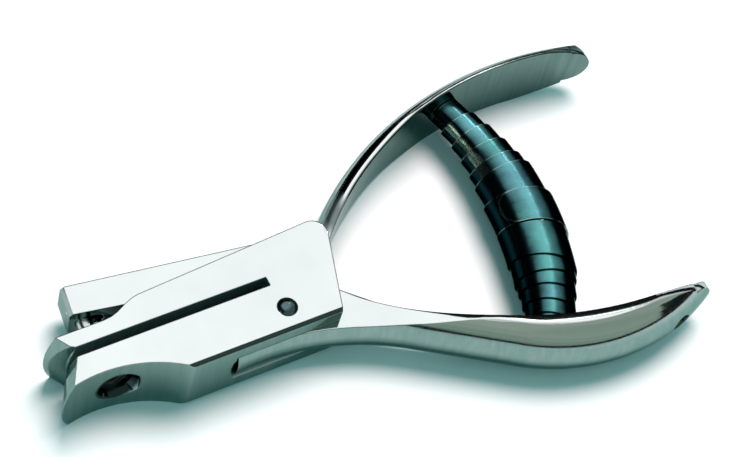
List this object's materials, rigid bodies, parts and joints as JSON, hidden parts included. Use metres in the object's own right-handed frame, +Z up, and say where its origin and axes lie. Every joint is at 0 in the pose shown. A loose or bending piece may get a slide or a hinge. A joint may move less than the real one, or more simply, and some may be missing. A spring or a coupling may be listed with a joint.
{
  "type": "ticket punch",
  "caption": "Plier-like hand ticket punch: slotted body with a narrow paper throat, pivoted lever that drives a round punch into a die, and a volute return spring between the handles.",
  "frame": {"origin": "middle of the footprint at the lower side face, with the tool lying on its side", "axes": "+X along the paper throat from the prongs to the handles, +Y from the lower handle to the upper handle, +Z up along the pivot"},
  "size_m": [0.1411, 0.0724, 0.0171],
  "materials": {
    "plate": "polished nickel plate on forged steel",
    "dark_steel": "dark blued steel",
    "tool_steel": "ground hardened steel",
    "die_steel": "hardened steel, dull",
    "blued_spring": "blued spring strip, glossy"
  },
  "bodies": {
    "body_group": {"body": "plate", "die_bush": "die_steel", "pivot_rivet": "dark_steel", "upper_spring_stud": "plate", "return_spring": "blued_spring"},
    "lever_group": {"lever": "plate", "punch_retaining_pin": "tool_steel", "lower_spring_stud": "plate"},
    "punch_group": {"punch": "tool_steel"}
  },
  "joints": [
    {"name": "lever_hinge", "type": "hinge", "parent": "body_group", "child": "lever_group", "pos_m": [-0.0223, -0.00315, 0.008], "axis": [0, 0, 1], "range_deg": [0, 7], "stiffness_Nm_per_rad": 4, "springref_deg": -2.86, "deforming": ["return_spring"]},
    {"name": "punch_slide", "type": "slide", "parent": "body_group", "child": "punch_group", "axis": [0, -1, 0], "range_m": [0, 0.00432]}
  ],
  "couplings": [
    {"joint": "punch_slide", "follows": "lever_hinge", "m_per_rad": 0.03527}
  ]
}
